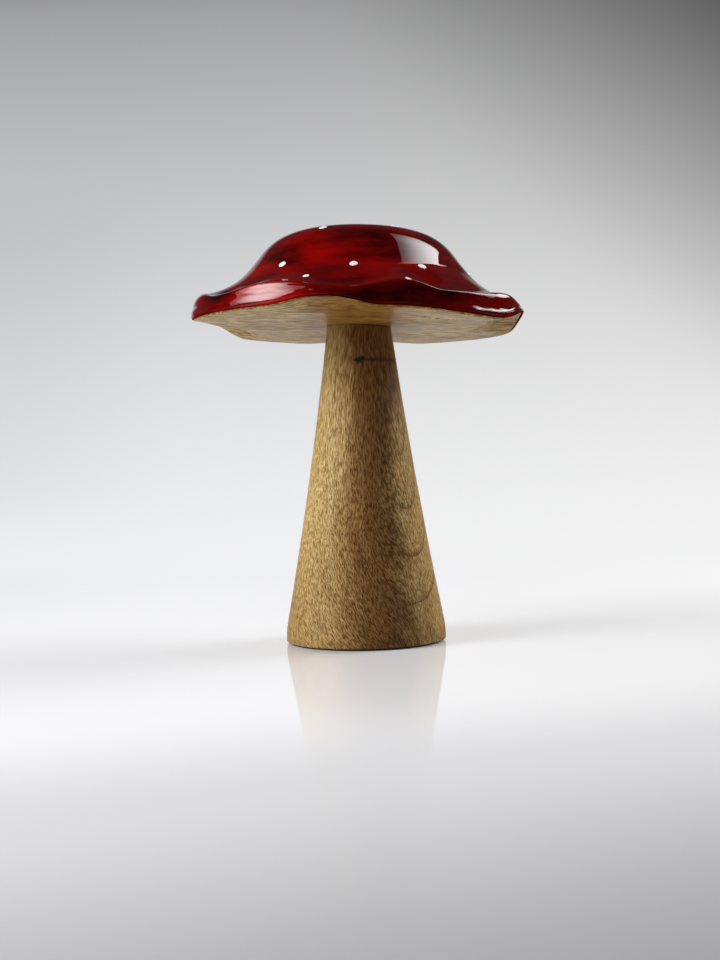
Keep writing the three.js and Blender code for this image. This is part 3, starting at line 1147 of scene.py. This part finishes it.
@dataclass(frozen=True)
class CapShape:
    """Section of the cap with the waves of its brim; heights above the joint."""

    height: float = 41.9
    crown_handle: float = 27.5
    shoulder_handle: float = 12.7
    flank_radius: float = 43.0
    flank_height: float = 29.1
    flank_slope: float = math.radians(54.0)
    hollow_handle: float = 12.3
    rim_radius: float = 72.0
    crest_inset: float = 5.0
    crest_height: float = 8.8
    brim_handle: float = 7.2
    brim_slope: float = math.radians(3.5)
    lip_handle: float = 2.6
    lip_inset: float = 0.8
    lip_height: float = 4.6
    lip_lean: float = math.radians(4.0)
    lip_drop: float = 0.8
    bead_height: float = 1.9
    bead_handle: float = 0.9
    bead_drop: float = 0.8
    tail_handle: Pair = (0.25, 0.4)
    tuck: float = 0.5
    wave_start: float = 46.0
    crest_wave: Wave = Wave((
        (-165, 3.0), (-142, -0.6), (-119, 1.7), (-92, -1.4), (-75, 1.5), (-60, -1.6), (-24, 1.3),
        (-9, 0.0), (5, -1.5), (48, 1.2), (92, -1.2), (135, 1.9),
    ))
    edge_wave: Wave = Wave((
        (-152, 0.5), (-123, 0.4), (-101, 3.3), (-79, -0.5), (-42, -1.9), (-4, 5.0), (21, -0.3),
        (58, 0.0), (88, 2.0), (117, 0.2), (137, 0.2), (157, 4.4),
    ))
    crease: tuple[Pair, ...] = (
        (43.0, 0.0), (46.0, -0.1), (49.4, -0.2), (50.0, 0.33), (52.0, 0.28), (54.0, 0.2), (56.0, 0.1),
        (58.0, 0.0), (60.0, -0.1), (62.0, -0.14), (64.0, -0.1), (66.0, 0.0),
    )
    crease_ease: Pair = (50.0, 62.0)
    crease_steps: int = 480
    crease_share: Wave = Wave(((-118.0, 0.0), (-94.0, 1.0), (-36.0, 1.0), (-14.0, 0.0)))
    crease_shift: Wave = Wave(((-76.0, 0.0), (-45.0, 1.2), (-20.0, 1.2), (100.0, 0.0)))
    left_share: Wave = Wave(((-165.0, 0.0), (-148.0, 1.0), (-100.0, 1.0), (-82.0, 0.0)))
    right_share: Wave = Wave(((-100.0, 0.0), (-82.0, 1.0), (-55.0, 1.0), (-43.0, 0.0)))
    end_share: Wave = Wave(((-55.0, 0.0), (-43.0, 1.0), (-33.0, 1.0), (-16.0, 0.0)))
    top_steps: int = 200

    @property
    def crest_radius(self) -> float:
        """Radius of the brim's crest."""
        return self.rim_radius - self.crest_inset

    def sections(self, angles: np.ndarray) -> list[tuple["CapShape", np.ndarray]]:
        """Sections round the cap: the front's lip is crisper, sloping at the left, hollowed at the right.

        Args:
            angles: Angles round the cap, in degrees.

        Returns:
            Each section with its share at every angle.
        """
        front = replace(self, hollow_handle=13.5, brim_handle=9.0)
        crisp = replace(front, crest_inset=2.9, lip_handle=1.1, lip_height=7.3, lip_drop=2.1)
        left = replace(crisp, lip_inset=0.95, lip_lean=math.radians(9.0), bead_handle=2.0)
        right = replace(
            crisp, crest_inset=3.3, lip_handle=1.9, lip_inset=0.5, lip_lean=math.radians(-2.0),
            lip_drop=2.5, bead_height=1.3, bead_handle=0.6)
        end = replace(
            front, crest_inset=5.0, lip_handle=2.9, lip_height=6.0, lip_inset=0.35,
            lip_lean=math.radians(-10.0), lip_drop=4.4, bead_height=1.7, bead_handle=0.45)
        shares = [wave.rise(angles) for wave in (self.left_share, self.right_share, self.end_share)]
        return [(self, 1.0 - sum(shares)), *zip((left, right, end), shares)]

    def curves(self, edge: float) -> list[list[Pair]]:
        """Control points of the dome, the hollow, the round of the lip, its face and the bead under it.

        Args:
            edge: Height of the lower edge.

        Returns:
            Five lists of four points.
        """
        down = (math.cos(self.flank_slope), -math.sin(self.flank_slope))
        out = (math.cos(self.brim_slope), -math.sin(self.brim_slope))
        lean = (math.sin(self.lip_lean), -math.cos(self.lip_lean))
        crown = (0.0, self.height)
        flank = (self.flank_radius, self.flank_height)
        crest = (self.crest_radius, self.crest_height)
        lip = (self.rim_radius - self.lip_inset, self.lip_height)
        bead = (self.rim_radius, edge + self.bead_height)
        tail = (self.rim_radius - self.tuck, edge)

        def along(point: Pair, way: Pair, far: float) -> Pair:
            """Returns a point moved along a direction."""
            return point[0] + way[0] * far, point[1] + way[1] * far

        return [
            [crown, (self.crown_handle, self.height), along(flank, down, -self.shoulder_handle), flank],
            [flank, along(flank, down, self.hollow_handle), along(crest, out, -self.brim_handle), crest],
            [crest, along(crest, out, self.lip_handle), along(lip, lean, -self.lip_handle), lip],
            [lip, along(lip, lean, self.lip_drop), (bead[0], bead[1] + self.bead_handle), bead],
            [bead, (bead[0], bead[1] - self.bead_drop), along(tail, self.tail_handle, 1.0), tail],
        ]

    def face(self, steps: tuple[int, ...], inset: float, edge: float = 0.0) -> np.ndarray:
        """Section of the top from the crown to the lower edge.

        Args:
            steps: Steps along each of the five curves.
            inset: Distance inside the coat's outer face.
            edge: Height of the lower edge.

        Returns:
            Rows of radius, height, share of the crest's wave and share of the edge's wave.
        """
        rows = []
        for order, (corners, count) in enumerate(zip(self.curves(edge), steps)):
            points, way = bezier(corners, count)
            radius = np.maximum(points[:, 0] + way[:, 1] * inset, 0.0)
            height = points[:, 1] - way[:, 0] * inset
            reach = smoother(points[:, 0], self.wave_start, self.crest_radius)
            on_lip = order > 1
            rise = np.clip(points[:, 1] / self.crest_height, 0.0, 1.0) if on_lip else np.ones(len(points))
            part = np.stack([radius, height, reach * rise, reach * (1 - rise)], axis=1)
            rows.append(part if order == 0 else part[1:])
        return np.vstack(rows)

    def carve(self, section_of: Callable[["CapShape"], np.ndarray], columns: int) -> np.ndarray:
        """Turns the sections round the cap and lets the rim follow the waves.

        Args:
            section_of: Gives the rows, as face does, for a shape.
            columns: Points in each ring.

        Returns:
            Rings of millimetre points in the cap's frame.
        """
        angles = np.degrees(np.arange(columns) * (FULL_TURN / columns))
        return sum(
            self.wave(section_of(shape), angles) * share[None, :, None]
            for shape, share in self.sections(angles)
        )

    def wave(self, section: np.ndarray, angles: np.ndarray) -> np.ndarray:
        """Turns one section and adds the waves and the tool line.

        Args:
            section: Rows as given by face.
            angles: Angle of each point of a ring, in degrees.

        Returns:
            Rings of millimetre points.
        """
        rings = turned(section[:, :2], len(angles))
        rings[..., 2] += section[:, 2:3] * self.crest_wave.rise(angles)
        rings[..., 2] += section[:, 3:4] * self.edge_wave.rise(angles)
        rings[..., 2] += (section[:, 3:4] == 0.0) * self.tool_line(section[:, 0:1], angles)
        return rings

    def tool_line(self, radius: np.ndarray, angles: np.ndarray) -> np.ndarray:
        """Height left by the gouge where the dome meets the brim, on the front alone.

        Args:
            radius: Distances from the cap's axis.
            angles: Angles round the cap, in degrees.

        Returns:
            Height to add at each place.
        """
        places, slopes = np.array(self.crease).T
        fine = np.linspace(places[0], places[-1], self.crease_steps + 1)
        heights = np.cumsum(np.interp(fine, places, slopes)) * (fine[1] - fine[0])
        heights -= heights[-1] * smoother(fine, *self.crease_ease)
        line = np.interp(radius + self.crease_shift.rise(angles), fine, heights, left=0.0, right=0.0)
        return line * self.crease_share.rise(angles)

    def top(self, x: np.ndarray, y: np.ndarray) -> np.ndarray:
        """Height of the coat's top.

        Args:
            x: Places across.
            y: Places from front to back.

        Returns:
            The height at each place.
        """
        radius = np.hypot(x, y)
        angles = np.degrees(np.arctan2(y, x))
        level = self.tool_line(radius, angles)
        to_crest = 2 * self.top_steps + 1
        for shape, share in self.sections(angles):
            section = shape.face((self.top_steps, self.top_steps, 2, 2, 2), 0.0)[:to_crest]
            reach = smoother(radius, shape.wave_start, shape.crest_radius)
            height = np.interp(radius, section[:, 0], section[:, 1])
            level += share * (height + reach * shape.crest_wave.rise(angles))
        return level


@dataclass(frozen=True)
class Cap:
    """Carved wooden cap with its enamel coat; steps are those along the section's five curves."""

    seat: CapFrame = field(default_factory=CapFrame)
    shape: CapShape = field(default_factory=CapShape)
    wood_inset: float = 0.9
    wood_steps: tuple[int, ...] = (40, 40, 14, 10, 6)
    flat_rows: int = 24
    wave_rows: int = 36
    rim_ease: float = 0.12
    rim_gap: float = 0.15
    hole_radius: float = 5.3
    hole_depth: float = 20.0
    hole_chamfer: float = 0.3
    hole_corner: float = 0.1
    sanding: Ripple = Ripple(0.05, 17.0, 1.9)
    coat_inner: float = 0.8
    inner_steps: tuple[int, ...] = (24, 24, 10, 8, 4)
    outer_steps: tuple[int, ...] = (90, 130, 30, 30, 12)
    bead: float = 0.12
    bead_rows: int = 7
    edge_lift: float = 0.5
    still_rows: int = 2
    lip_rows: int = 62
    unevenness: Ripple = Ripple(0.03, 26.0, 4.2)
    flow: float = 0.03
    flow_pitch: float = 2.3
    flow_sways: tuple[Place, ...] = ((1.6, 9, 0.4), (1.1, 23, 1.9), (0.7, 47, 0.8))
    columns: int = 420

    def body(self) -> bpy.types.Object:
        """Carves the wood: peg hole, underside, rim and dome.

        Returns:
            The wooden cap.
        """
        start, wall, floor = self.shape.wave_start, self.hole_radius, self.hole_depth
        rim = self.shape.rim_radius - self.wood_inset - self.shape.tuck - self.rim_gap
        radii = np.concatenate([
            np.linspace(wall + self.hole_chamfer, start, self.flat_rows, endpoint=False),
            np.linspace(start, rim, self.wave_rows),
        ])
        flat = np.zeros_like(radii)
        under = np.stack([radii, flat, flat, smoother(radii, start, self.shape.crest_radius)], axis=1)
        hole = np.array([
            (0.0, floor, 0, 0), (wall - self.hole_corner, floor, 0, 0),
            (wall, floor - self.hole_corner, 0, 0), (wall, self.hole_chamfer, 0, 0),
        ])

        def section(shape: CapShape) -> np.ndarray:
            """Returns the closed section of the wood."""
            face = shape.face(self.wood_steps, self.wood_inset, self.rim_ease)
            return np.vstack([hole, under, face[::-1]])

        rings = self.shape.carve(section, self.columns)
        rows = slice(len(hole), len(hole) + len(under))
        rings[rows, :, 2] += self.sanding.at(rings[rows])
        return skin("carved_cap", rings)

    def coat(self) -> bpy.types.Object:
        """Flows the enamel over the wood and rolls it under in a bead.

        Returns:
            The enamel coat.
        """

        def section(shape: CapShape) -> np.ndarray:
            """Closed section of the coat.

            Args:
                shape: Shape of the cap at one side.

            Returns:
                Rows as given by face.
            """
            inner = shape.face(self.inner_steps, self.coat_inner, self.edge_lift)
            outer = shape.face(self.outer_steps, 0.0, self.edge_lift)[::-1]
            turns = np.linspace(0.0, math.pi, self.bead_rows + 2)[1:-1, None]
            bead = inner[-1] + (outer[0] - inner[-1]) * (1.0 - np.cos(turns)) / 2
            bead[:, 1:2] -= self.bead * np.sin(turns)
            return np.vstack([inner, bead, outer])

        rings = self.shape.carve(section, self.columns)
        outside = sum(self.inner_steps) + 1 + self.bead_rows + self.still_rows
        rows = slice(outside, None)
        rings[rows, :, 2] += self.unevenness.at(rings[rows])
        lip = slice(outside, outside + self.lip_rows)
        rings[lip, :, :2] *= 1.0 + self.runs(rings[lip])[..., None]
        return skin("red_coat", rings)

    def runs(self, lip: np.ndarray) -> np.ndarray:
        """Faint runs that the enamel left along the lip as it cured.

        Args:
            lip: Rings of the lip's face.

        Returns:
            Share by which each point moves out from the axis.
        """
        angles = np.arctan2(lip[..., 1], lip[..., 0])
        sway = sum(size * np.sin(rate * angles + shift) for size, rate, shift in self.flow_sways)
        wave = np.sin(lip[..., 2] * (FULL_TURN / self.flow_pitch) + sway)
        fade = np.sin(np.linspace(0.0, math.pi, len(lip)))[:, None]
        return self.flow / self.shape.rim_radius * wave * fade

    def dress(self, wood: bpy.types.Material, enamel: bpy.types.Material) -> None:
        """Builds the cap and its coat, seats them and finishes both.

        Args:
            wood: Material of the bare wood.
            enamel: Material of the coat.
        """
        body, coat = self.body(), self.coat()
        for piece in (body, coat):
            piece.data.transform(self.seat.matrix())
        settle(body, wood, "cap_body")
        settle(coat, enamel, "enamel_coat")


@dataclass(frozen=True)
class DropRing:
    """One ring of drops: its radius, and each drop's angle in degrees and distance outside the ring."""

    radius: float
    drops: tuple[Pair, ...]


@dataclass(frozen=True)
class Drops:
    """Raised drops of white enamel, set by hand in three rings and one on the crown."""

    seat: CapFrame = field(default_factory=CapFrame)
    shape: CapShape = field(default_factory=CapShape)
    radius: float = 1.6
    height: float = 0.38
    sink: float = 0.03
    seed: int = 23
    columns: int = 48
    under_rows: int = 5
    dome_rows: int = 12
    dome_power: float = 0.9
    size_range: Pair = (0.95, 1.06)
    oval: float = 0.05
    lobes: float = 0.025
    flat: tuple[str, ...] = ("dot_lower_1", "dot_lower_2")
    flat_size: Pair = (0.85, 0.35)
    upper: DropRing = DropRing(30.6, (
        (-115, 2.5), (-56, -2.6), (4, 0.4), (66, -1.2), (124, 1.4), (183, -0.4),
    ))
    middle: DropRing = DropRing(49.6, (
        (-127.6, 0.0), (-91.5, 1.0), (-58.8, 1.0), (-13.8, -1.0), (28, 0.4), (67, -0.6), (108, 1.2),
        (149, -0.5), (187, 0.3),
    ))
    lower: DropRing = DropRing(57.5, (
        (-110, 0.9), (-71, 4.4), (8, 0.5), (48, -0.5), (88, 1.0), (128, -0.5), (168, 0.5),
    ))

    def places(self) -> dict[str, Pair]:
        """Radius and angle of each drop.

        Returns:
            Places by the CAD node's name.
        """
        found = {"dot_crown": (0.0, 0.0)}
        for name, ring in (("upper", self.upper), ("middle", self.middle), ("lower", self.lower)):
            for order, (angle, outset) in enumerate(ring.drops, start=1):
                found[f"dot_{name}_{order}"] = (ring.radius + outset, angle)
        return found

    def tilt(self, x: float, y: float) -> np.ndarray:
        """Directions across, back and up from the coat at a place.

        Args:
            x: Place across.
            y: Place from front to back.

        Returns:
            Three unit directions, one row each.
        """
        step = self.radius
        left, right, front, back = self.shape.top(
            np.array((x - step, x + step, x, x)), np.array((y, y, y - step, y + step)))
        up = Vector(((left - right) / (2 * step), (front - back) / (2 * step), 1.0)).normalized()
        return np.array(Vector((0, 0, 1)).rotation_difference(up).to_matrix()).T

    def build(self, node: str, radius: float, angle: float, rng: np.random.Generator) -> bpy.types.Object:
        """Sets one drop onto the coat.

        Args:
            node: Name of the CAD node that the drop stands for.
            radius: Distance from the cap's axis.
            angle: Angle round the cap, in degrees.
            rng: Source of the drop's small irregularity.

        Returns:
            The drop.
        """
        x0 = radius * math.cos(math.radians(angle))
        y0 = radius * math.sin(math.radians(angle))
        side_x, side_y, up = self.tilt(x0, y0)
        size, tall = self.flat_size if node in self.flat else (1.0, 1.0)
        phase, second = rng.uniform(0, FULL_TURN, 2)
        reach = self.radius * size * rng.uniform(*self.size_range)
        around = np.arange(self.columns) * (FULL_TURN / self.columns)
        oval = 1 + self.oval * np.sin(2 * around + phase) + self.lobes * np.sin(3 * around + second)
        spread = np.outer(reach * oval * np.cos(around), side_x)
        spread += np.outer(reach * oval * np.sin(around), side_y)
        profile = [(share, 0.0) for share in np.linspace(0.0, 1.0, self.under_rows)]
        for turn in np.linspace(0.0, QUARTER_TURN, self.dome_rows)[1:]:
            profile.append((math.cos(turn), math.sin(turn) ** self.dome_power))
        rings = []
        for share, lift in profile:
            x, y = x0 + share * spread[:, 0], y0 + share * spread[:, 1]
            base = np.stack([x, y, self.shape.top(x, y)], axis=1)
            rings.append(base + up * (lift * tall * self.height - self.sink))
        return skin(node.replace("dot", "drop"), np.array(rings))

    def dress(self, enamel: bpy.types.Material) -> None:
        """Builds every drop and gives it its enamel.

        Args:
            enamel: The white enamel.
        """
        rng = np.random.default_rng(self.seed)
        for node, (radius, angle) in self.places().items():
            drop = self.build(node, radius, angle, rng)
            drop.data.transform(self.seat.matrix())
            settle(drop, enamel, node)


# Studio


@dataclass(frozen=True)
class Flag:
    """Dark cloth that hides a lamp right of a start and above a low edge, under a sloping line."""

    start: float
    low: float
    line: float
    slope: float = 0.33
    crisp: float = 0.002
    soft: float = 0.02

    def passes(self, across: Value, up: Value) -> Value:
        """Share of the light that passes the cloth.

        Args:
            across: Place across the lamp, from 0 to 1.
            up: Place up the lamp, from 0 to 1.

        Returns:
            The share at each place.
        """
        above = (across * self.slope + up).ease(self.line - self.crisp, self.line + self.crisp)
        beside = across.ease(self.start - self.soft, self.start + self.soft, 1.0, 0.0)
        below = up.ease(self.low - self.soft, self.low + self.soft, 1.0, 0.0)
        return above.at_least(beside.at_least(below))


@dataclass(frozen=True)
class SoftLamp:
    """One rectangular soft lamp aimed at the ornament; angles from straight behind it."""

    name: str
    bearing: float
    lift: float
    far: float
    wide: float
    tall: float
    glow: float
    hot: Pair
    core: float
    reach: float
    rim: float = 0.1
    roll: float = 0.0
    flag: Flag | None = None
    aim: Place = (0.0, 0.0, 0.14)

    def build(self) -> None:
        """Hangs the lamp."""
        light = bpy.data.lights.new(self.name, "AREA")
        light.shape = "RECTANGLE"
        light.size = self.wide
        light.size_y = self.tall
        light.energy = self.glow * math.pi * self.wide * self.tall
        self.soften(light)
        lamp = put(self.name, light)
        bearing, lift = math.radians(self.bearing), math.radians(self.lift)
        level = math.cos(lift)
        way = Vector((math.sin(bearing) * level, math.cos(bearing) * level, math.sin(lift)))
        lamp.location = Vector(self.aim) + way * self.far
        turn = way.to_track_quat("Z", "Y") @ Quaternion((0.0, 0.0, 1.0), math.radians(self.roll))
        lamp.rotation_euler = turn.to_euler()
        lamp.visible_camera = False

    def soften(self, light: bpy.types.Light) -> None:
        """Lets the lamp's cloth glow most at its hot spot and less towards the rim, behind its flag.

        Args:
            light: The lamp's light.
        """
        light.use_nodes = True
        light.node_tree.nodes.clear()
        bench = NodeBench(light.node_tree)
        across, up, _ = bench.split(bench.value("ShaderNodeNewGeometry", output="Parametric"))
        far = bench.far((across - self.hot[0]) * 2.0, (up - self.hot[1]) * 2.0)
        fade = far.ease(self.core, self.reach, 1.0, self.rim)
        if self.flag:
            fade = fade * self.flag.passes(across, up)
        glow = bench.value("ShaderNodeEmission", {"Strength": fade})
        bench.add("ShaderNodeOutputLight", {"Surface": glow})


@dataclass(frozen=True)
class Studio:
    """Glossy white table that sweeps up into a pale backdrop, soft lamps and the camera."""

    wall_far: float = 1.35
    sweep: float = 0.55
    side: float = 2.4
    front: float = 2.2
    near: float = 0.6
    wall_tall: float = 2.0
    bend_steps: int = 24
    columns: int = 9
    room: Colour = (0.018, 0.018, 0.019, 1.0)
    lamps: tuple[SoftLamp, ...] = (
        SoftLamp(
            "left_key", bearing=-110.0, lift=32.0, far=0.9, wide=0.74, tall=1.0, glow=10.5,
            hot=(0.6, 0.3), core=0.15, reach=1.12),
        SoftLamp(
            "right_window", bearing=71.0, lift=38.4, far=0.905, wide=0.64, tall=0.94, glow=6.5,
            hot=(0.6, 0.38), core=0.4, reach=1.35, roll=10.0, flag=Flag(start=0.74, low=0.42, line=0.8005)),
    )
    camera_at: Place = (0.0, -0.5381, 0.0701)
    camera_ahead: Place = (-0.0022, 1.0, 0.0)
    camera_up: Place = (0.0241, 0.0001, 0.9997)
    lens: float = 46.22
    film: float = 36.0
    clip_start: float = 0.01

    def backdrop(self, paper: bpy.types.Material) -> None:
        """Sweeps the table up into the wall.

        Args:
            paper: Material of the table and the wall.
        """
        foot = self.wall_far - self.sweep
        path = [(-self.front, 0.0), (-self.near, 0.0), (0.0, 0.0), (foot, 0.0)]
        for turn in np.linspace(0.0, QUARTER_TURN, self.bend_steps + 1)[1:]:
            path.append((foot + self.sweep * math.sin(turn), self.sweep - self.sweep * math.cos(turn)))
        path.append((self.wall_far, self.wall_tall))
        across = np.linspace(-self.side, self.side, self.columns)
        points = [(x, y, z) for y, z in path for x in across]
        faces = []
        for low in range(0, len(points) - self.columns, self.columns):
            high = low + self.columns
            for col in range(self.columns - 1):
                faces.append((low + col, low + col + 1, high + col + 1, high + col))
        sheet = smooth_object("backdrop", points, faces)
        sheet.data.materials.append(paper)

    def world(self) -> None:
        """Keeps the room round the table dim."""
        world = bpy.data.worlds.new("dim_room")
        world.use_nodes = True
        ground = next(node for node in world.node_tree.nodes if node.type == "BACKGROUND")
        ground.inputs["Color"].default_value = self.room
        ground.inputs["Strength"].default_value = 1.0
        bpy.context.scene.world = world

    def camera(self) -> None:
        """Sets the camera low in front of the ornament."""
        data = bpy.data.cameras.new("camera")
        data.sensor_width = self.film
        data.lens = self.lens
        data.clip_start = self.clip_start
        camera = put("camera", data)
        back = -Vector(self.camera_ahead).normalized()
        right = Vector(self.camera_up).cross(back).normalized()
        basis = Matrix((right, back.cross(right), back)).transposed().to_4x4()
        camera.matrix_world = Matrix.Translation(self.camera_at) @ basis
        bpy.context.scene.camera = camera

    def build(self, paper: bpy.types.Material) -> None:
        """Sets up the camera, the room, the table and the lamps.

        Args:
            paper: Material of the table and the wall.
        """
        self.camera()
        self.world()
        self.backdrop(paper)
        for lamp in self.lamps:
            lamp.build()
        bpy.context.scene.view_settings.view_transform = "Standard"


def main() -> None:
    """Builds the studio and every piece of the ornament in order."""
    logging.basicConfig(level=logging.INFO, format="%(name)s: %(message)s")
    effects = Effects()
    Studio().build(PaleSweep(effects).material())
    BasePad().dress(PadFelt(effects).material())
    Stem().dress(StemWood(effects).material())
    Cap().dress(CapWood(effects).material(), RedEnamel(effects).material())
    Drops().dress(WhiteEnamel(effects).material())
    Peg().dress(PegWood(effects).material())


if __name__ == "__main__":
    main()
